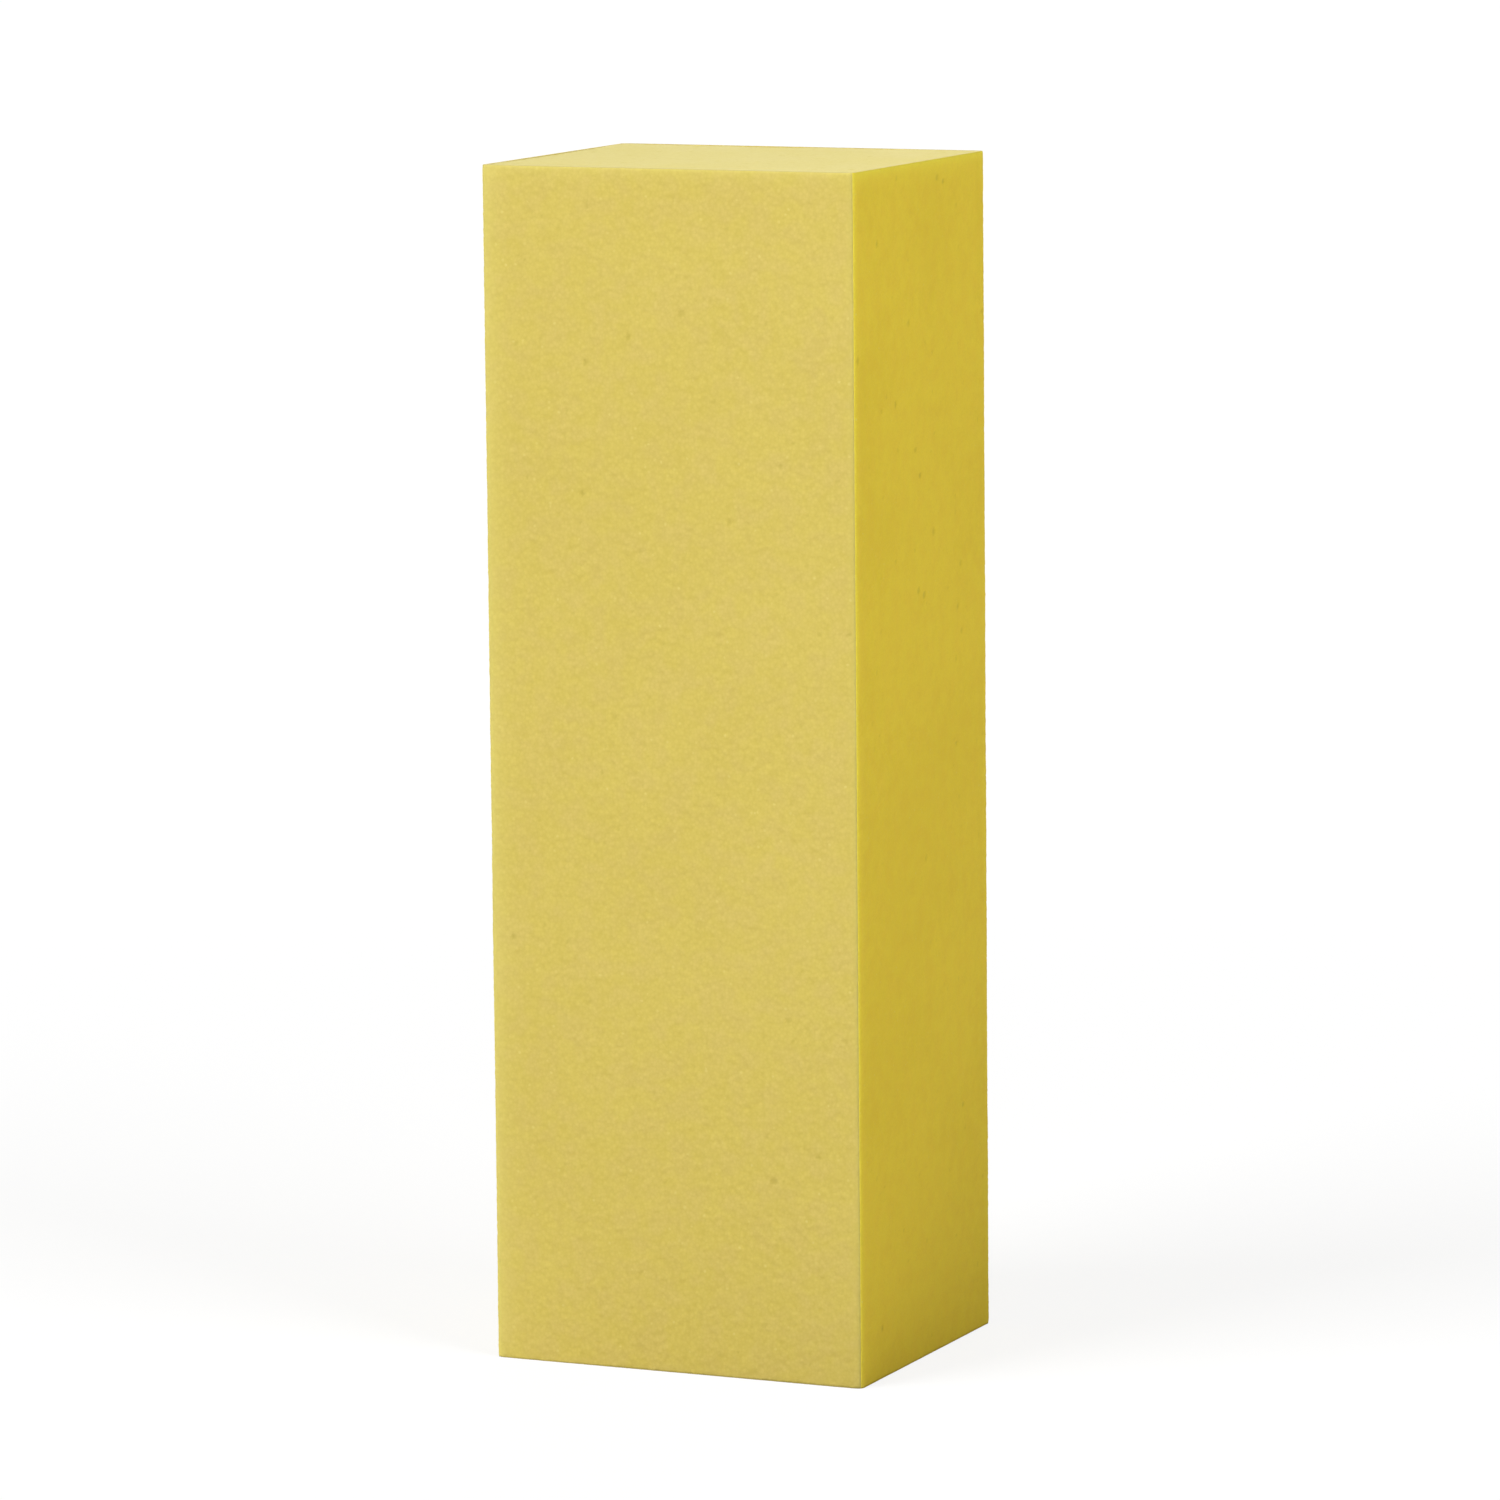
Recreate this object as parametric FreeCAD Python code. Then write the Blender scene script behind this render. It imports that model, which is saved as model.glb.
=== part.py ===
# Nail buffer block: a soft foam core with an abrasive skin bonded to each of its four long faces.
# Each skin is built up from the foam outwards as a make coat, a layer of grit and a size coat.
# The front and rear skins carry coarse grit, the left and right skins carry fine grit, and the
# two end faces are bare foam. The skins wrap the rounded long edges and meet along the middle of
# each edge.
#
# Units are millimetres. The origin is the middle of the lower end face, +Z runs up the block's
# length, +X points to its right face and -Y to its front face.

import FreeCAD
import Part
import os

# Driving dimensions
BLOCK_LENGTH = 90.0  # along Z, end face to end face
BLOCK_WIDTH = 30.0  # along X, across the coarse front and rear faces
BLOCK_DEPTH = 25.0  # along Y, across the fine left and right faces

MAKE_COAT = 0.10  # resin that ties the grit to the foam
COARSE_GRIT = 0.20  # one layer of coarse grains, about 100 grit
FINE_GRIT = 0.12  # one layer of fine grains, about 180 grit
SIZE_COAT = 0.05  # tinted resin over the grains

# Radius of the four long edges, at the outside of each layer
CORE_RADIUS = 0.20
MAKE_COAT_RADIUS = 0.30
GRIT_RADIUS = 0.45
BLOCK_RADIUS = 0.50

OUT_FOLDER = "parts"

# A skin is cut from each layer along planes at 45 degrees through the long edges. Those planes
# cross the Y = 0 plane this far from the Z axis.
MITRE_OFFSET = (BLOCK_WIDTH - BLOCK_DEPTH) / 2
CUT_REACH = BLOCK_DEPTH / 2 + 1.0  # how far along Y a cutting wedge reaches, past the block


def rounded_prism(coarse_inset, fine_inset, radius):
    """The block drawn in from its front and rear faces and from its left and right faces."""
    width = BLOCK_WIDTH - 2 * fine_inset
    depth = BLOCK_DEPTH - 2 * coarse_inset
    corner = FreeCAD.Vector(-width / 2, -depth / 2, 0)
    prism = Part.makeBox(width, depth, BLOCK_LENGTH, corner)
    long_edges = [edge for edge in prism.Edges if abs(edge.Length - BLOCK_LENGTH) < 1e-6]
    return prism.makeFillet(radius, long_edges)


def nested_prisms():
    """The core, and the block as it stands after each coat, from the inside out."""
    core = rounded_prism(
        SIZE_COAT + COARSE_GRIT + MAKE_COAT, SIZE_COAT + FINE_GRIT + MAKE_COAT, CORE_RADIUS
    )
    with_make_coat = rounded_prism(SIZE_COAT + COARSE_GRIT, SIZE_COAT + FINE_GRIT, MAKE_COAT_RADIUS)
    with_grit = rounded_prism(SIZE_COAT, SIZE_COAT, GRIT_RADIUS)
    block = rounded_prism(0, 0, BLOCK_RADIUS)
    return core, with_make_coat, with_grit, block


def wedge(points):
    """A prism over the block's length, from its outline in plan."""
    outline = [FreeCAD.Vector(x, y, 0) for x, y in points]
    face = Part.Face(Part.makePolygon(outline + outline[:1]))
    return face.extrude(FreeCAD.Vector(0, 0, BLOCK_LENGTH))


def face_wedges():
    """For each long face, the wedge of the block between the 45 degree planes at its edges."""
    wide = MITRE_OFFSET + CUT_REACH
    outlines = {
        "front": [(-MITRE_OFFSET, 0), (-wide, -CUT_REACH), (wide, -CUT_REACH), (MITRE_OFFSET, 0)],
        "rear": [(MITRE_OFFSET, 0), (wide, CUT_REACH), (-wide, CUT_REACH), (-MITRE_OFFSET, 0)],
        "left": [(-MITRE_OFFSET, 0), (-wide, CUT_REACH), (-wide, -CUT_REACH)],
        "right": [(MITRE_OFFSET, 0), (wide, -CUT_REACH), (wide, CUT_REACH)],
    }
    return {face: wedge(points) for face, points in outlines.items()}


def block_parts():
    """Every solid of the block, by node name."""
    core, with_make_coat, with_grit, block = nested_prisms()
    layers = {
        "make_coat": with_make_coat.cut(core),
        "grit_layer": with_grit.cut(with_make_coat),
        "size_coat": block.cut(with_grit),
    }
    parts = {"foam_core": core}
    for face, region in face_wedges().items():
        for layer, ring in layers.items():
            parts[f"{face}_{layer}"] = ring.common(region)
    return parts


def main():
    os.makedirs(OUT_FOLDER, exist_ok=True)
    for name, shape in block_parts().items():
        shape.exportStep(os.path.join(OUT_FOLDER, name + ".step"))


main()
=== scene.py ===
# The looks of the nail buffer block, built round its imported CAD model.
#
# Each size coat is a closed shell whose outer side carries the relief of the grains and the pits
# of the foam under it. The foam core has cut cells in its two ends. The make coats and the grit
# layers are the CAD solids with procedural materials, and show as thin rims at the ends.
# Places and sizes are in metres, in the frame of the CAD model.

import math
import bpy
import numpy as np
from mathutils import Matrix, Vector


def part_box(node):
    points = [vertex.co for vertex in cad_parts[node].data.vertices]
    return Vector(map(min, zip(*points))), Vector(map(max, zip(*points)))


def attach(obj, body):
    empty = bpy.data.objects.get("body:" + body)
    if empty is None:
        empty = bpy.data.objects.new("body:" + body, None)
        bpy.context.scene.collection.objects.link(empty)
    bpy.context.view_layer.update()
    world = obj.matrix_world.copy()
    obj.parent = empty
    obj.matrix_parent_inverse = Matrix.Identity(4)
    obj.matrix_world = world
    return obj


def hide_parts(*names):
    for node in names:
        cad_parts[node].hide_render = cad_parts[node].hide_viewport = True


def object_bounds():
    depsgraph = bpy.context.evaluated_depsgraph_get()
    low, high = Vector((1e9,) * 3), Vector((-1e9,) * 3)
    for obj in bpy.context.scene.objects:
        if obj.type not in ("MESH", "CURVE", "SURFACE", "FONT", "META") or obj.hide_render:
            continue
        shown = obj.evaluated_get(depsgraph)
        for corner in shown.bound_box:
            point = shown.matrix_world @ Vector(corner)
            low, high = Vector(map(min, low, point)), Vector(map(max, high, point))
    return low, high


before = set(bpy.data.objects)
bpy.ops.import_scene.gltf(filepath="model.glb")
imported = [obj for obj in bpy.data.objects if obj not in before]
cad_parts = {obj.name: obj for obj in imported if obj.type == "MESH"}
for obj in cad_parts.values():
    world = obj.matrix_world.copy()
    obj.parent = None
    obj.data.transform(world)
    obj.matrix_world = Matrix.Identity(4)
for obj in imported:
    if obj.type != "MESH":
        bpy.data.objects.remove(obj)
cad_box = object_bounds()

MM = 0.001
SEED = 4127
TINY = 1e-9  # keeps a division clear of zero

# The block, as packed. The size coat's inner side is where the grit layer ends.
LOW, HIGH = cad_box
HALF_WIDTH = (HIGH.x - LOW.x) / 2
HALF_DEPTH = (HIGH.y - LOW.y) / 2
LENGTH = HIGH.z - LOW.z
MIDDLE = Vector((0, 0, (LOW.z + HIGH.z) / 2))
SIZE_COAT = HALF_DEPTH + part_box("front_grit_layer")[0].y
CORE_LOW, CORE_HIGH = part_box("foam_core")
BLOCK_RADIUS = 0.50 * MM  # the block's four long edges
CORE_RADIUS = 0.20 * MM  # the foam core's four long edges

# Each long face: its outward normal in plan and whether its grit is coarse.
# They follow one another round the block, so that one height field can wrap all four.
FACES = {
    "front": ((0, -1), True),
    "right": ((1, 0), False),
    "rear": ((0, 1), True),
    "left": ((-1, 0), False),
}

# Grid points of the skins
ROWS = 545  # along the length
WIDE_FLAT = 175  # across the flat of a coarse face
NARROW_FLAT = 145  # across the flat of a fine face
ARC = 3  # from the end of the flat to the middle of a long edge
GRID_PITCH = LENGTH / (ROWS - 1)
JITTER = 0.22  # share of the pitch by which grid points stray, so that no lattice shows

# Relief of the skins: the spread of each kind of bump, and its size on the surface. The level is
# how far the coat stands proud of the CAD surface between its pits.
COARSE = {"grain": 0.014 * MM, "clump": 0.002 * MM, "wave": 0.007 * MM, "level": 0.040 * MM}
FINE = {"grain": 0.003 * MM, "clump": 0.002 * MM, "wave": 0.006 * MM, "level": 0.020 * MM}
GRAIN_SIZE = 0.24 * MM
CLUMP_SIZE = 0.95 * MM
WAVE_SIZE = 9.0 * MM
BLURS_PER_BUMP = 3  # blurring by a third of a bump's size makes bumps of that size
LOWEST_RELIEF = -0.8 * SIZE_COAT  # no pit goes through the size coat
END_DROP = 0.025 * MM  # how far a cut end is rubbed down
END_REACH = 0.15 * MM
BLEND_START = 2 * BLOCK_RADIUS  # coarse and fine start to blend this far in from the end of a flat
BLEND_LENGTH = 2.8 * BLOCK_RADIUS  # from there to the middle of the long edge
RELIEF_MARK = 2  # the relief mark is 1 this many spreads of the grain above the level

# Pits in the skins: how many lie round the block, and their smallest and largest size
PITS = (70, 0.35 * MM, 0.65 * MM)
SPECKS = (380, 0.22 * MM, 0.36 * MM)
PIT_DEPTH = 0.075 * MM
SPECK_SHARE = 0.5  # a speck's depth against a pit's
PIT_STRENGTH = (0.5, 1.0)  # the shallowest and the deepest, as shares of the full depth
PIT_STRETCH = (0.8, 1.3)  # the least and the most by which a pit is lengthened
PIT_POWER = 0.7  # below 1 a pit has a steeper rim and a flatter bottom than a parabola

# Wear and a painted glow: how strongly and how far in from an edge the coat thins and the foam's
# colour shows, together with a lighter, greener glow painted in for light that comes through the edges.
# The painted glow is strongest at the upper ends and widest at the left edges, towards the key light.
UPPER_WEAR_AND_GLOW = {"coarse": (0.45, 0.45 * MM), "fine": (0.75, 0.55 * MM)}
LOWER_WEAR_AND_GLOW = {"coarse": (0.15, 0.25 * MM), "fine": (0.15, 0.25 * MM)}
EDGE_WEAR_AND_GLOW = {"left": (0.65, 0.80 * MM), "right": (0.60, 0.20 * MM)}

# Cells in the foam's cut ends. Heights of their walls are in spreads of one layer of noise.
CELL_COLUMNS = 244
CELL_ROWS = 202
CELL_SIZE = 0.26 * MM
SMALL_CELL_SIZE = CELL_SIZE / 2
CELL_SHARE, SMALL_CELL_SHARE = 0.65, 0.35  # what cells of each size add to the walls' height
CELL_DEPTH = 0.014 * MM  # the depth of one spread
CUT_HEIGHT = 0.6  # the walls are cut off level this far above their mean
DEEPEST_CELL = 2.6  # below the cut
FOAM_WAVE = 0.015 * MM
FOAM_WAVE_SIZE = 6 * MM
FOAM_LEVEL = 1.5  # how far the cut lies below the CAD end on average, in foam waves
VOIDS = (60, 0.30 * MM, 0.55 * MM)  # how many to an end, and their smallest and largest size
VOID_DEPTH = 0.10 * MM

# Coats: the colours, the share of the grains that are pale specks, and the surface.
# The stain is a colour that multiplies the others. The colour shown where the coat is rubbed
# through is also that of the painted glow at its ends and edges.
COARSE_COAT = {
    "light": (0.623, 0.499, 0.108),
    "deep": (0.567, 0.447, 0.084),
    "stain": (1.000, 0.985, 1.14),
    "worn_and_glowing": (0.700, 0.610, 0.160),
    "pale_share": 0.015,
    "grain_size": 0.26 * MM,
    "roughness": 0.75,
    "shine": 0.3,
}
FINE_COAT = {
    "light": (0.722, 0.549, 0.0471),
    "deep": (0.672, 0.503, 0.0394),
    "stain": (0.990, 0.955, 0.99),
    "worn_and_glowing": (0.790, 0.690, 0.068),
    "pale_share": 0.01,
    "grain_size": 0.17 * MM,
    "roughness": 0.80,
    "shine": 0.1,
}
GRAIN_WHITE = (0.645, 0.535, 0.145)
# Painted shade in the pits of the skins and the voids of the foam, darker where they are deeper
PIT_SHADE_COLOUR = (0.36, 0.28, 0.035)

# What mottles a coat, as shares of its tone: a painted highlight in the middle of each grain and
# painted shade at its rim, its own tone, a speckle across it, painted shade where the real relief
# lies low, and patches and drifts over many grains
ROUND_HIGHLIGHT_SHARE = 0.25
OWN_SHARE = 0.25
SPECKLE_SHARE = 0.15
RELIEF_SHADE_SHARE = 0.20
PATCH_SHARE, PATCH_SIZE = 0.30, 0.9 * MM
DRIFT_SHARE, DRIFT_SIZE = 0.10, 16 * MM
COAT_TONES = (0.375, 0.875)  # the tones that show as the deep and as the light colour
STAIN_SIZE = 1.5 * MM
STAIN_TONES = (0.38, 0.68)  # where in its noise a stain begins and is full
CELL_MIDDLE, CELL_RIM = 0.15, 0.75  # distances from a cell's centre, as shares of its size
PALE_RIM, PALE_MIDDLE = 0.6, 0.2  # between these distances a pale grain comes up to its full tone
COAT_PIT_SHADE = 0.5
GRAIN_WEAR_AND_GLOW = (0.8, 1.1)  # the least and the most that a grain takes of the rubbing and painted glow round it
COAT_ROUGHNESS_SPREAD = 0.08
COAT_BUMP, COAT_BUMP_STRENGTH = 0.008 * MM, 0.5

# Cut foam. Its tone comes from painted shade in the middles of its cells and where its real relief
# lies low, and from wide drifts.
FOAM_YELLOW = (0.790, 0.680, 0.225)
FOAM_DEEP = (0.760, 0.648, 0.203)
FOAM_CELL = 0.22 * MM
FOAM_DRIFT = 7 * MM
FOAM_CELL_SHADE_SHARE = 0.35
FOAM_RELIEF_SHADE_SHARE = 0.40
FOAM_DRIFT_SHARE = 0.25
FOAM_RELIEF_SPREADS = 1.5
FOAM_TONES = (0.2, 0.75)
FOAM_PIT_SHADE = 0.4
FOAM_ROUGHNESS = (0.70, 0.80)
FOAM_ROUGHNESS_DRIFT = (0.3, 0.7)  # where in the drift the foam is smoothest and roughest
FOAM_SHINE = 0.10
FOAM_BUMP, FOAM_BUMP_STRENGTH = 0.005 * MM, 0.3

# The cut rims of the buried layers
MAKE_COAT_RIM = {
    "light": (0.700, 0.600, 0.130),
    "deep": COARSE_COAT["deep"],
    "grain_size": 0.15 * MM,
    "roughness": 0.6,
}
COARSE_GRIT_RIM = {
    "light": (0.700, 0.600, 0.150),
    "deep": COARSE_COAT["deep"],
    "grain_size": 0.15 * MM,
    "roughness": 0.7,
}
FINE_GRIT_RIM = {
    "light": (0.700, 0.600, 0.150),
    "deep": FINE_COAT["deep"],
    "grain_size": 0.08 * MM,
    "roughness": 0.7,
}
RIM_DRIFT_GRAINS = 3  # the size of a drift, in grains
RIM_DRIFT_SHARE = 0.6
RIM_GRAIN_SHARE = 0.5
RIM_ROUGHNESS_SPREAD = 0.1
RIM_BUMP, RIM_BUMP_STRENGTH = 0.01 * MM, 0.5

# The floor
FLOOR_HALF = 4.0
FLOOR_DROP = 0.02 * MM  # below the block, so that the two surfaces never coincide
FLOOR_DARK = (0.87, 0.87, 0.87)
FLOOR_LIGHT = (0.89, 0.89, 0.885)
FLOOR_PATCH = 60 * MM
FLOOR_ROUGHNESS = 0.5

# The floor's even glow, as the camera sees it: its share near the block and far from it
FLOOR_GLOW = 1.02
NEAR_SHARE, FAR_SHARE = 0.80, 1.0
NEAR_FLOOR, FAR_FLOOR = 60 * MM, 300 * MM

# How much light the floor throws back on the block: less round its right foot than elsewhere, where
# a darker colour for bounced light is painted shade standing for the shadow that falls there. The
# painted shade is full within the first distance from its centre and gone by the second.
SHADE_CENTRE = (12 * MM, 2 * MM, 0)
SHADE_REACH = (14 * MM, 38 * MM)
SHADE_BOUNCE = 0.57
FLOOR_BOUNCE = 0.88

# The camera
CAMERA_AZIMUTH = math.radians(24.1)
CAMERA_ELEVATION = math.radians(8.15)
CAMERA_ROLL = math.radians(-0.52)
CAMERA_DISTANCE = 600 * MM
CAMERA_LENS = 191.0
CAMERA_SENSOR = 36.0
CAMERA_NEAR, CAMERA_FAR = 10 * MM, 20.0  # what lies between them is seen
AIM_RIGHT = 0.73 * MM  # the block stands this far left of the picture's middle
AIM_UP = 0.35 * MM  # and this far below it

# The studio light: an even light from all round, and square soft lights, each with its azimuth
# and elevation in degrees, its distance and size in metres and its power in watts
WORLD_STRENGTH = 0.07
SOFTBOXES = {
    "key": (-37, 32, 1.20, 0.75, 14.0),
    "fill": (70, 36, 0.42, 0.20, 0.98),
    "back": (195, 22, 0.90, 0.60, 3.7),
}


# ---------------------------------------------------------------- height fields

def soft_noise(rng, shape, pitch, feature):
    """Smooth random heights with a spread of 1. The feature is the rough size of one bump."""
    rows, columns = shape
    along = np.fft.fftfreq(rows, pitch)[:, None]
    across = np.fft.rfftfreq(columns, pitch)[None, :]
    blur = feature / BLURS_PER_BUMP
    spectrum = np.fft.rfft2(rng.standard_normal(shape))
    # A Gaussian blur, which in the spectrum is a product
    spectrum *= np.exp(-2 * (math.pi * blur) ** 2 * (along**2 + across**2))
    field = np.fft.irfft2(spectrum, s=shape)
    return (field - field.mean()) / field.std()


def round_pits(rng, shape, pitch, count, smallest, largest):
    """Depths from 0 to 1 of scattered round pits. The field repeats across its columns."""
    rows, columns = shape
    depth = np.zeros(shape)
    for _ in range(count):
        row = rng.uniform(0, rows)
        column = rng.uniform(0, columns)
        radius = rng.uniform(smallest, largest) / 2 / pitch
        strength = rng.uniform(*PIT_STRENGTH)
        stretch = rng.uniform(*PIT_STRETCH)
        reach = math.ceil(radius * PIT_STRETCH[1]) + 1
        near_rows = np.arange(int(row) - reach, int(row) + reach + 1)
        near_rows = near_rows[(near_rows >= 0) & (near_rows < rows)]
        near_columns = np.arange(int(column) - reach, int(column) + reach + 1)
        down = (near_rows[:, None] - row) / stretch
        over = (near_columns[None, :] - column) * stretch
        bowl = strength * np.clip(1 - (down**2 + over**2) / radius**2, 0, 1) ** PIT_POWER
        patch = np.ix_(near_rows, near_columns % columns)
        depth[patch] = np.maximum(depth[patch], bowl)
    return depth


def smooth_step(value):
    """Rises smoothly from 0 to 1 as the value does, and is held at both ends."""
    value = np.clip(value, 0, 1)
    return value * value * (3 - 2 * value)


# ---------------------------------------------------------------- meshes

def grid_quads(rows, columns):
    """Faces of a grid whose points run along columns first. They are wound anticlockwise as seen
    with the columns to the right and the rows upwards."""
    first = (np.arange(rows - 1)[:, None] * columns + np.arange(columns - 1)[None, :]).ravel()
    return np.stack((first, first + 1, first + columns + 1, first + columns), axis=1)


def build_piece(name, points, quads, closing, marks):
    """An object with smooth quads, flat closing faces and marks.

    A mark is a number for each of the first points, which the materials read by its name."""
    mesh = bpy.data.meshes.new(name)
    mesh.from_pydata(points.tolist(), [], quads.tolist() + [list(ring) for ring in closing])
    smooth = np.arange(len(mesh.polygons)) < len(quads)
    mesh.polygons.foreach_set("use_smooth", smooth)
    for mark, values in marks.items():
        padded = np.zeros(len(points), np.float32)
        padded[: values.size] = values.ravel()
        mesh.attributes.new(mark, "FLOAT", "POINT").data.foreach_set("value", padded)
    mesh.validate()
    mesh.update()
    piece = bpy.data.objects.new(name, mesh)
    bpy.context.scene.collection.objects.link(piece)
    return piece


# ---------------------------------------------------------------- the skins

class SkinFace:
    """One long face of the block: where its grid columns lie round the block's outline."""

    def __init__(self, name, first_column):
        self.name = name
        (nx, ny), self.coarse = FACES[name]
        self.normal = np.array((nx, ny), float)
        self.across = np.array((-ny, nx), float)
        self.half_across = HALF_WIDTH if self.coarse else HALF_DEPTH
        self.half_through = HALF_DEPTH if self.coarse else HALF_WIDTH
        self.half_flat = self.half_across - BLOCK_RADIUS
        flat = np.linspace(-self.half_flat, self.half_flat, WIDE_FLAT if self.coarse else NARROW_FLAT)
        arc = np.linspace(0, BLOCK_RADIUS * math.pi / 4, ARC + 1)[1:]
        self.places = np.concatenate((flat[0] - arc[::-1], flat, flat[-1] + arc))
        self.columns = np.arange(len(self.places)) + first_column

    def outline(self, places, inset=0.0):
        """Points and normals in plan at these places, measured across the face from its middle."""
        turn = np.clip(np.abs(places) - self.half_flat, 0, None) / BLOCK_RADIUS
        turn = (np.sign(places) * turn)[..., None]
        flat = np.clip(places, -self.half_flat, self.half_flat)[..., None]
        normals = np.sin(turn) * self.across + np.cos(turn) * self.normal
        centres = flat * self.across + (self.half_through - BLOCK_RADIUS) * self.normal
        return centres + (BLOCK_RADIUS - inset) * normals, normals


def lay_out_faces():
    """The four faces in order round the block, and the number of columns round it."""
    faces = []
    column = 0
    for name in FACES:
        face = SkinFace(name, column)
        faces.append(face)
        column = face.columns[-1]
    return faces, column


def coarseness(faces, around):
    """For each column round the block, 1 on coarse faces and 0 on fine ones, blended at edges."""
    share = np.zeros(around)
    for face in faces:
        into_blend = np.abs(face.places) - (face.half_flat - BLEND_START)
        towards_edge = smooth_step(into_blend / BLEND_LENGTH) / 2
        share[face.columns % around] = 1 - towards_edge if face.coarse else towards_edge
    return share


def wrap_relief(rng, faces, around):
    """Heights over the CAD surface, and pit depths, for the grid that wraps the block."""
    shape = (ROWS, around)
    share = coarseness(faces, around)[None, :]
    mixed = {kind: share * COARSE[kind] + (1 - share) * FINE[kind] for kind in COARSE}
    height = mixed["level"] + mixed["grain"] * soft_noise(rng, shape, GRID_PITCH, GRAIN_SIZE)
    height += mixed["clump"] * soft_noise(rng, shape, GRID_PITCH, CLUMP_SIZE)
    height += mixed["wave"] * soft_noise(rng, shape, GRID_PITCH, WAVE_SIZE)
    pits = round_pits(rng, shape, GRID_PITCH, *PITS)
    specks = round_pits(rng, shape, GRID_PITCH, *SPECKS)
    pits = np.maximum(pits, SPECK_SHARE * specks)
    height -= PIT_DEPTH * pits
    from_end = np.minimum(np.arange(ROWS), np.arange(ROWS)[::-1])[:, None] * GRID_PITCH
    height -= END_DROP * np.exp(-from_end / END_REACH)
    return np.maximum(height, LOWEST_RELIEF), pits


def wear_and_glow_of(face, up, places):
    """How strongly the coat is rubbed through and carries a painted glow, from 0 to 1, near the ends and
    the long edges of a face.
    """
    grade = "coarse" if face.coarse else "fine"
    kept = np.ones(up.shape)
    for distance, (most, reach) in ((HIGH.z - up, UPPER_WEAR_AND_GLOW[grade]), (up - LOW.z, LOWER_WEAR_AND_GLOW[grade])):
        kept *= 1 - most * np.exp(-distance / reach)
    for side in (-1, 1):
        corner = face.across * face.half_across * side + face.normal * face.half_through
        most, reach = EDGE_WEAR_AND_GLOW["left" if corner[0] < 0 else "right"]
        distance = np.clip(face.places[-1] - side * places, 0, None)
        kept *= 1 - most * np.exp(-distance / reach)
    return 1 - kept


def shell_closing(columns, inner_count):
    """The flat faces that close a skin: its two ends, its two long sides and its inner side."""
    outer_count = ROWS * columns
    low_row = list(range(columns))
    high_row = list(range(outer_count - columns, outer_count))
    first_edge = list(range(0, outer_count, columns))
    other_edge = list(range(columns - 1, outer_count, columns))
    low_inner = list(range(outer_count, outer_count + inner_count))
    high_inner = [point + inner_count for point in low_inner]
    closing = [
        high_row + high_inner[::-1],
        low_inner + low_row[::-1],
        first_edge + [high_inner[0], low_inner[0]],
        [low_inner[-1], high_inner[-1]] + other_edge[::-1],
    ]
    for i in range(inner_count - 1):
        closing.append((high_inner[i], high_inner[i + 1], low_inner[i + 1], low_inner[i]))
    return closing


def skin_mesh(face, relief, pits, rng):
    """A size coat: a closed shell with relief outside and the grit layer's plain side inside."""
    columns = len(face.places)
    around = relief.shape[1]
    height = relief[:, face.columns % around]
    bumps = COARSE if face.coarse else FINE
    stray = rng.uniform(-JITTER, JITTER, (2, ROWS, columns)) * GRID_PITCH
    stray[0][:, [0, -1]] = 0
    stray[1][[0, -1], :] = 0
    places = face.places[None, :] + stray[0]
    up = np.linspace(LOW.z, HIGH.z, ROWS)[:, None] + stray[1]
    plan, normals = face.outline(places)
    outer = np.dstack((plan + normals * height[..., None], up)).reshape(-1, 3)

    inner_places = np.concatenate((face.places[: ARC + 1], face.places[-ARC - 1 :]))
    inner_plan = face.outline(inner_places, SIZE_COAT)[0]
    inner = [(x, y, z) for z in (LOW.z, HIGH.z) for x, y in inner_plan]

    marks = {
        "relief": (height - bumps["level"]) / (RELIEF_MARK * bumps["grain"]),
        "pit": pits[:, face.columns % around],
        # The third mark: rubbing and a painted glow near the ends and edges
        "wear": wear_and_glow_of(face, up, places),
    }
    points = np.concatenate((outer, inner))
    closing = shell_closing(columns, len(inner_places))
    return build_piece(f"{face.name}_size_coat_skin", points, grid_quads(ROWS, columns), closing, marks)


# ---------------------------------------------------------------- the foam core

def round_corners(x, y):
    """Draws the corners of the core's end grid in to its small edge radius."""
    centre_x = CORE_HIGH.x - CORE_RADIUS
    centre_y = CORE_HIGH.y - CORE_RADIUS
    past_x = np.abs(x) - centre_x
    past_y = np.abs(y) - centre_y
    reach = np.hypot(past_x, past_y)
    corner = (past_x > 0) & (past_y > 0) & (reach > CORE_RADIUS)
    scale = np.where(corner, CORE_RADIUS / np.maximum(reach, TINY), 1.0)
    x = np.where(corner, np.sign(x) * (centre_x + past_x * scale), x)
    y = np.where(corner, np.sign(y) * (centre_y + past_y * scale), y)
    return x, y


def cut_end(rng):
    """One cut end: its depths below the CAD end, its voids from 0 to 1 and its walls' heights."""
    shape = (CELL_ROWS, CELL_COLUMNS)
    pitch = (CORE_HIGH.x - CORE_LOW.x) / (CELL_COLUMNS - 1)
    cells = soft_noise(rng, shape, pitch, CELL_SIZE)
    small_cells = soft_noise(rng, shape, pitch, SMALL_CELL_SIZE)
    waves = soft_noise(rng, shape, pitch, FOAM_WAVE_SIZE)
    voids = round_pits(rng, shape, pitch, *VOIDS)
    walls = CELL_SHARE * cells + SMALL_CELL_SHARE * small_cells
    depth = CELL_DEPTH * np.clip(CUT_HEIGHT - walls, 0, DEEPEST_CELL) + FOAM_WAVE * (FOAM_LEVEL + waves)
    return np.clip(depth, 0, None) + VOID_DEPTH * voids, voids, walls


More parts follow.
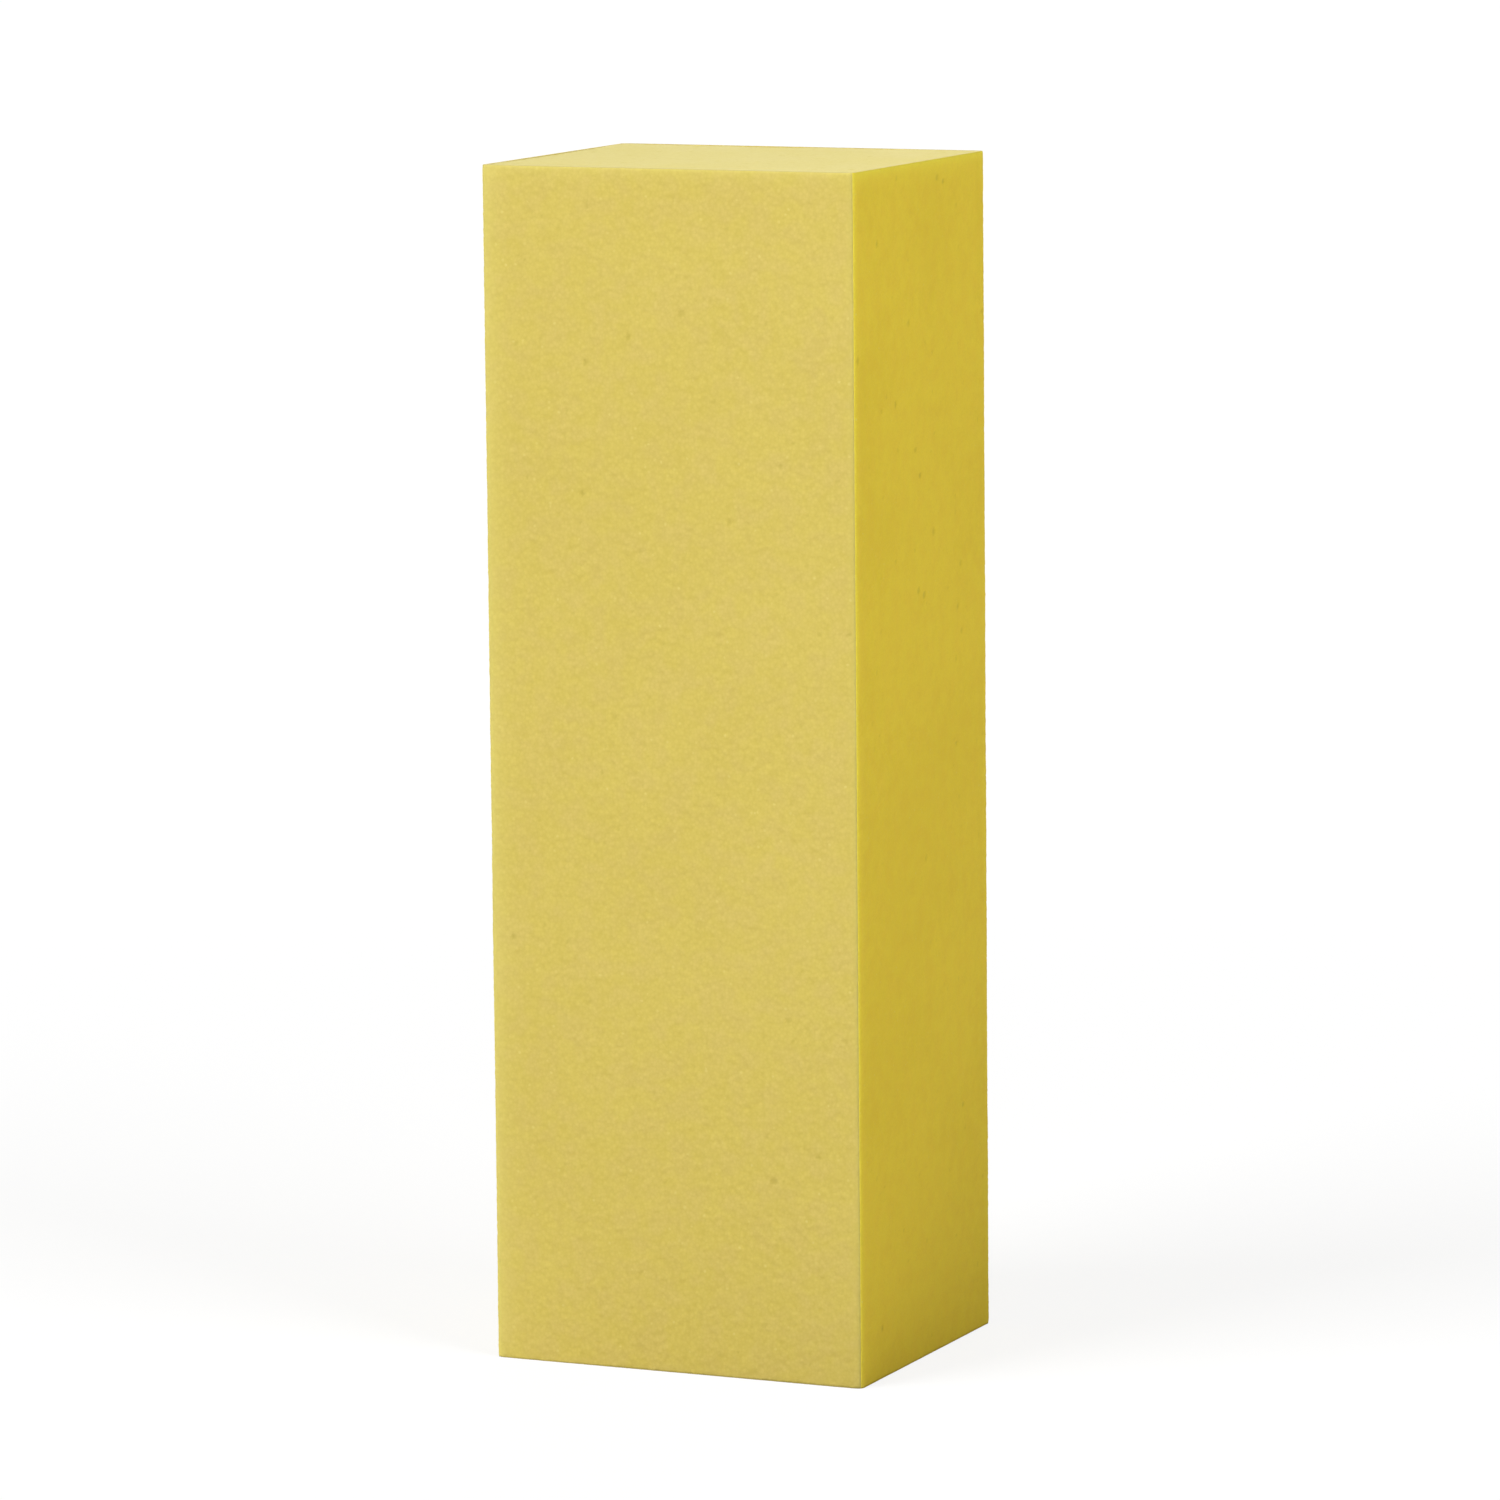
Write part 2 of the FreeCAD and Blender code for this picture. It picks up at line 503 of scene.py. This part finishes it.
def core_mesh(rng):
    """The foam core: cells over both cut ends and plain sides, which the skins hide."""
    x = np.linspace(CORE_LOW.x, CORE_HIGH.x, CELL_COLUMNS)[None, :]
    y = np.linspace(CORE_LOW.y, CORE_HIGH.y, CELL_ROWS)[:, None]
    x, y = round_corners(*np.broadcast_arrays(x, y))
    ends = []
    pits = []
    relief = []
    for z, outwards in ((HIGH.z, 1), (LOW.z, -1)):
        depth, voids, walls = cut_end(rng)
        ends.append(np.dstack((x, y, z - outwards * depth)).reshape(-1, 3))
        pits.append(voids)
        relief.append(walls)
    count = CELL_ROWS * CELL_COLUMNS
    upper = grid_quads(CELL_ROWS, CELL_COLUMNS)
    lower = upper[:, ::-1] + count
    low_x = list(range(0, count, CELL_COLUMNS))
    high_x = list(range(CELL_COLUMNS - 1, count, CELL_COLUMNS))
    low_y = list(range(CELL_COLUMNS))
    high_y = list(range(count - CELL_COLUMNS, count))
    sides = []
    for edge in (low_y[::-1], high_x[::-1], high_y, low_x):
        sides.append(edge + [point + count for point in edge[::-1]])
    marks = {"pit": np.concatenate(pits), "relief": np.concatenate(relief)}
    quads = np.concatenate((upper, lower))
    return build_piece("foam_core_cells", np.concatenate(ends), quads, sides, marks)


# ---------------------------------------------------------------- materials

class Graph:
    """Short names for building one material's nodes."""

    def __init__(self, name):
        self.material = bpy.data.materials.new(name)
        self.material.use_nodes = True
        self.tree = self.material.node_tree
        self.tree.nodes.clear()
        self.place = self.node("ShaderNodeTexCoord").outputs["Object"]

    def node(self, kind, settings=(), **inputs):
        """A node with these settings, whose inputs are numbers, colours or other sockets.

        An input goes by its name, with _ for a space, or by i and its number, as in i0."""
        made = self.tree.nodes.new(kind)
        for name, value in dict(settings).items():
            setattr(made, name, value)
        for name, value in inputs.items():
            key = int(name[1:]) if name[0] == "i" and name[1:].isdigit() else name.replace("_", " ")
            self.feed(made.inputs[key], value)
        return made

    def feed(self, socket, value):
        """Links a socket to this input, or sets the input to a number, a vector or a colour."""
        if isinstance(value, bpy.types.NodeSocket):
            self.tree.links.new(value, socket)
        elif hasattr(value, "__len__") and len(value) == 3 and socket.type == "RGBA":
            socket.default_value = (*value, 1)
        else:
            socket.default_value = value

    def math(self, operation, first, second=0.0):
        return self.node("ShaderNodeMath", {"operation": operation}, i0=first, i1=second).outputs[0]

    def weigh(self, *parts):
        """The sum of these values, each times its share."""
        total = 0.0
        for value, share in parts:
            total = self.math("ADD", total, self.math("MULTIPLY", value, share))
        return total

    def mix(self, factor, first, second):
        """A colour between two colours."""
        made = self.node("ShaderNodeMix", {"data_type": "RGBA"}, i0=factor, i6=first, i7=second)
        return made.outputs[2]

    def tint(self, factor, colour, by):
        """A colour multiplied by another, so that its own contrasts stay."""
        settings = {"data_type": "RGBA", "blend_type": "MULTIPLY"}
        made = self.node("ShaderNodeMix", settings, i0=factor, i6=colour, i7=by)
        return made.outputs[2]

    def ramp(self, value, from_low, from_high, to_low=0.0, to_high=1.0):
        """A value carried from one range to another, held at its ends."""
        ranges = {"i1": from_low, "i2": from_high, "i3": to_low, "i4": to_high}
        return self.node("ShaderNodeMapRange", i0=value, **ranges).outputs[0]

    def noise(self, feature, detail=2.0, roughness=0.5):
        """Smooth noise around 0.5, with bumps of this size."""
        look = {"Scale": 1 / feature, "Detail": detail, "Roughness": roughness}
        return self.node("ShaderNodeTexNoise", Vector=self.place, **look).outputs["Fac"]

    def cells(self, feature):
        """Distance from the nearest cell centre and the cell's own random colour."""
        made = self.node("ShaderNodeTexVoronoi", Vector=self.place, Scale=1 / feature)
        return made.outputs["Distance"], made.outputs["Color"]

    def mark(self, name):
        """The number that the mesh holds under this name, and 0 where it holds none."""
        return self.node("ShaderNodeAttribute", {"attribute_name": name}).outputs["Fac"]

    def bump(self, height, distance, strength):
        made = self.node("ShaderNodeBump", Height=height, Distance=distance, Strength=strength)
        return made.outputs["Normal"]

    def finish(self, **inputs):
        """Ends the material in a principled surface."""
        surface = self.node("ShaderNodeBsdfPrincipled", **inputs)
        output = self.node("ShaderNodeOutputMaterial")
        self.tree.links.new(surface.outputs[0], output.inputs["Surface"])
        return self.material


def coat_material(name, coat):
    """Tinted resin over grains: mottled grain by grain, with a painted highlight in the middle of each
    grain and painted shade at its rim, in the low relief and in pits; foam-coloured where rubbed through,
    with a lighter, greener painted glow near the ends and edges.
    """
    graph = Graph(name)
    distance, random = graph.cells(coat["grain_size"])
    own = graph.node("ShaderNodeSeparateColor", Color=random).outputs[0]
    # Painted light in the tone: a highlight in the middle of each grain, shade at its rim and where the
    # relief lies low
    tone = graph.weigh(
        (graph.ramp(distance, CELL_MIDDLE, CELL_RIM, 1, 0), ROUND_HIGHLIGHT_SHARE),
        (own, OWN_SHARE),
        (graph.noise(coat["grain_size"], roughness=0.6), SPECKLE_SHARE),
        (graph.ramp(graph.mark("relief"), -1, 1), RELIEF_SHADE_SHARE),
        (graph.noise(PATCH_SIZE), PATCH_SHARE),
        (graph.noise(DRIFT_SIZE), DRIFT_SHARE),
    )
    colour = graph.mix(graph.ramp(tone, *COAT_TONES), coat["deep"], coat["light"])
    stained = graph.ramp(graph.noise(STAIN_SIZE, detail=1.0, roughness=0.4), *STAIN_TONES)
    colour = graph.tint(stained, colour, coat["stain"])
    pale = graph.ramp(own, 1 - coat["pale_share"], 1)
    inside = graph.ramp(distance, PALE_RIM, PALE_MIDDLE)
    colour = graph.mix(graph.math("MULTIPLY", pale, inside), colour, GRAIN_WHITE)
    # Painted shade in the pits, darker where they are deeper
    colour = graph.mix(graph.math("MULTIPLY", graph.mark("pit"), COAT_PIT_SHADE), colour, PIT_SHADE_COLOUR)
    # Rubbed through to the foam's colour, with a painted glow of light through the ends and edges
    worn_and_glowing = graph.math("MULTIPLY", graph.mark("wear"), graph.ramp(own, 0, 1, *GRAIN_WEAR_AND_GLOW))
    colour = graph.mix(worn_and_glowing, colour, coat["worn_and_glowing"])
    smoothest = coat["roughness"] - COAT_ROUGHNESS_SPREAD
    roughest = coat["roughness"] + COAT_ROUGHNESS_SPREAD
    return graph.finish(
        Base_Color=colour,
        Roughness=graph.ramp(own, 0, 1, smoothest, roughest),
        Specular_IOR_Level=coat["shine"],
        Normal=graph.bump(graph.noise(coat["grain_size"] / 2, detail=1.0), COAT_BUMP, COAT_BUMP_STRENGTH),
    )


def foam_material(name):
    """Cut closed-cell foam: pale walls round cells darkened by painted shade, more shade where the cut
    lies deeper and in the voids; dull all over.
    """
    graph = Graph(name)
    distance, _ = graph.cells(FOAM_CELL)
    walls = graph.ramp(distance, CELL_MIDDLE, CELL_RIM)
    drift = graph.noise(FOAM_DRIFT, detail=3.0)
    raised = graph.ramp(graph.mark("relief"), -FOAM_RELIEF_SPREADS, FOAM_RELIEF_SPREADS)
    # Painted shade in the cells' middles and where the cut lies deeper
    tone = graph.weigh((walls, FOAM_CELL_SHADE_SHARE), (raised, FOAM_RELIEF_SHADE_SHARE), (drift, FOAM_DRIFT_SHARE))
    colour = graph.mix(graph.ramp(tone, *FOAM_TONES), FOAM_DEEP, FOAM_YELLOW)
    # Painted shade in the voids, darker where they are deeper
    colour = graph.mix(graph.math("MULTIPLY", graph.mark("pit"), FOAM_PIT_SHADE), colour, PIT_SHADE_COLOUR)
    return graph.finish(
        Base_Color=colour,
        Roughness=graph.ramp(drift, *FOAM_ROUGHNESS_DRIFT, *FOAM_ROUGHNESS),
        Specular_IOR_Level=FOAM_SHINE,
        Normal=graph.bump(walls, FOAM_BUMP, FOAM_BUMP_STRENGTH),
    )


def rim_material(name, rim):
    """A buried layer, seen only as its cut rim: resin or packed grains."""
    graph = Graph(name)
    distance, _ = graph.cells(rim["grain_size"])
    drift = graph.noise(RIM_DRIFT_GRAINS * rim["grain_size"])
    tone = graph.weigh((drift, RIM_DRIFT_SHARE), (distance, RIM_GRAIN_SHARE))
    smoothest = rim["roughness"] - RIM_ROUGHNESS_SPREAD
    roughest = rim["roughness"] + RIM_ROUGHNESS_SPREAD
    return graph.finish(
        Base_Color=graph.mix(tone, rim["deep"], rim["light"]),
        Roughness=graph.ramp(distance, 0, 1, smoothest, roughest),
        Normal=graph.bump(distance, RIM_BUMP, RIM_BUMP_STRENGTH),
    )


def floor_material(name):
    """A plain pale floor. The camera sees it lit up, most of all far off, so that it stays white
    and the block's shadow stays faint."""
    graph = Graph(name)
    colour = graph.mix(graph.noise(FLOOR_PATCH), FLOOR_DARK, FLOOR_LIGHT)
    plain = graph.node("ShaderNodeBsdfDiffuse", Color=colour, Roughness=FLOOR_ROUGHNESS).outputs[0]
    glow = graph.node("ShaderNodeEmission", Strength=FLOOR_GLOW).outputs[0]
    away = graph.node("ShaderNodeVectorMath", {"operation": "LENGTH"}, i0=graph.place).outputs["Value"]
    share = graph.ramp(away, NEAR_FLOOR, FAR_FLOOR, NEAR_SHARE, FAR_SHARE)
    seen = graph.node("ShaderNodeMixShader", Fac=share, i1=plain, i2=glow).outputs[0]

    # Painted shade: the floor throws back less light round the block's right foot, standing for the
    # shadow there
    places = {"i0": graph.place, "i1": SHADE_CENTRE}
    from_shade = graph.node("ShaderNodeVectorMath", {"operation": "DISTANCE"}, **places)
    lit = graph.ramp(from_shade.outputs["Value"], *SHADE_REACH)
    thrown = graph.mix(lit, (SHADE_BOUNCE,) * 3, (FLOOR_BOUNCE,) * 3)
    bounce = graph.node("ShaderNodeBsdfDiffuse", Color=thrown, Roughness=FLOOR_ROUGHNESS).outputs[0]

    by_camera = graph.node("ShaderNodeLightPath").outputs["Is Camera Ray"]
    either = graph.node("ShaderNodeMixShader", Fac=by_camera, i1=bounce, i2=seen).outputs[0]
    graph.node("ShaderNodeOutputMaterial", Surface=either)
    return graph.material


# ---------------------------------------------------------------- the block

def build_block():
    """The skins, the foam core and the materials of the buried layers."""
    rng = np.random.default_rng(SEED)
    faces, around = lay_out_faces()
    relief, pits = wrap_relief(rng, faces, around)
    coarse_coat = coat_material("coarse_coat", COARSE_COAT)
    fine_coat = coat_material("fine_coat", FINE_COAT)
    for face in faces:
        piece = skin_mesh(face, relief, pits, rng)
        piece.data.materials.append(coarse_coat if face.coarse else fine_coat)
        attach(piece, "root")
        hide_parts(f"{face.name}_size_coat")
    core = core_mesh(rng)
    core.data.materials.append(foam_material("cut_foam"))
    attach(core, "root")
    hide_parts("foam_core")

    resin = rim_material("make_coat_resin", MAKE_COAT_RIM)
    coarse_grit = rim_material("coarse_grit", COARSE_GRIT_RIM)
    fine_grit = rim_material("fine_grit", FINE_GRIT_RIM)
    for face in faces:
        grit = coarse_grit if face.coarse else fine_grit
        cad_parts[f"{face.name}_make_coat"].material_slots[0].material = resin
        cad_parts[f"{face.name}_grit_layer"].material_slots[0].material = grit


# ---------------------------------------------------------------- the stage

def direction(azimuth, elevation):
    """The unit vector from the block towards a place. Azimuth 0 is the front, 90 the right."""
    level = math.cos(elevation)
    return Vector((math.sin(azimuth) * level, -math.cos(azimuth) * level, math.sin(elevation)))


def add_camera():
    """The camera, in front of the block, to its right and a little above it."""
    camera = bpy.data.objects.new("camera", bpy.data.cameras.new("camera"))
    bpy.context.scene.collection.objects.link(camera)
    back = direction(CAMERA_AZIMUTH, CAMERA_ELEVATION)
    right = Vector((math.cos(CAMERA_AZIMUTH), math.sin(CAMERA_AZIMUTH), 0))
    aim = MIDDLE + AIM_RIGHT * right + Vector((0, 0, AIM_UP))
    turn = (-back).to_track_quat("-Z", "Y").to_matrix().to_4x4()
    place = Matrix.Translation(aim + CAMERA_DISTANCE * back)
    camera.matrix_world = place @ turn @ Matrix.Rotation(CAMERA_ROLL, 4, "Z")
    camera.data.sensor_width = CAMERA_SENSOR
    camera.data.lens = CAMERA_LENS
    camera.data.clip_start = CAMERA_NEAR
    camera.data.clip_end = CAMERA_FAR
    bpy.context.scene.camera = camera


def add_softbox(name, azimuth, elevation, distance, size, watts):
    """A square soft light that faces the block and stays out of the picture itself."""
    light = bpy.data.lights.new(name, "AREA")
    light.size = size
    light.energy = watts
    lamp = bpy.data.objects.new(name, light)
    bpy.context.scene.collection.objects.link(lamp)
    towards = direction(math.radians(azimuth), math.radians(elevation))
    lamp.location = MIDDLE + towards * distance
    lamp.rotation_mode = "QUATERNION"
    lamp.rotation_quaternion = towards.to_track_quat("Z", "Y")
    lamp.visible_camera = False


def add_world():
    """An even soft light from all round, which the camera sees as pale as the far floor."""
    world = bpy.data.worlds.new("studio")
    world.use_nodes = True
    tree = world.node_tree
    by_camera = tree.nodes.new("ShaderNodeLightPath").outputs["Is Camera Ray"]
    level = tree.nodes.new("ShaderNodeMapRange")
    level.inputs["To Min"].default_value = WORLD_STRENGTH
    level.inputs["To Max"].default_value = FLOOR_GLOW
    background = tree.nodes["Background"]
    background.inputs["Color"].default_value = (1, 1, 1, 1)
    tree.links.new(by_camera, level.inputs["Value"])
    tree.links.new(level.outputs["Result"], background.inputs["Strength"])
    bpy.context.scene.world = world


def add_floor():
    """A wide level floor under the block."""
    level = LOW.z - FLOOR_DROP
    corners = [(x * FLOOR_HALF, y * FLOOR_HALF, level) for x, y in ((-1, -1), (1, -1), (1, 1), (-1, 1))]
    mesh = bpy.data.meshes.new("floor")
    mesh.from_pydata(corners, [], [(0, 1, 2, 3)])
    mesh.materials.append(floor_material("pale_floor"))
    floor = bpy.data.objects.new("floor", mesh)
    bpy.context.scene.collection.objects.link(floor)


build_block()
add_floor()
add_world()
for softbox, placing in SOFTBOXES.items():
    add_softbox(softbox, *placing)
add_camera()
bpy.context.scene.view_settings.view_transform = "Standard"
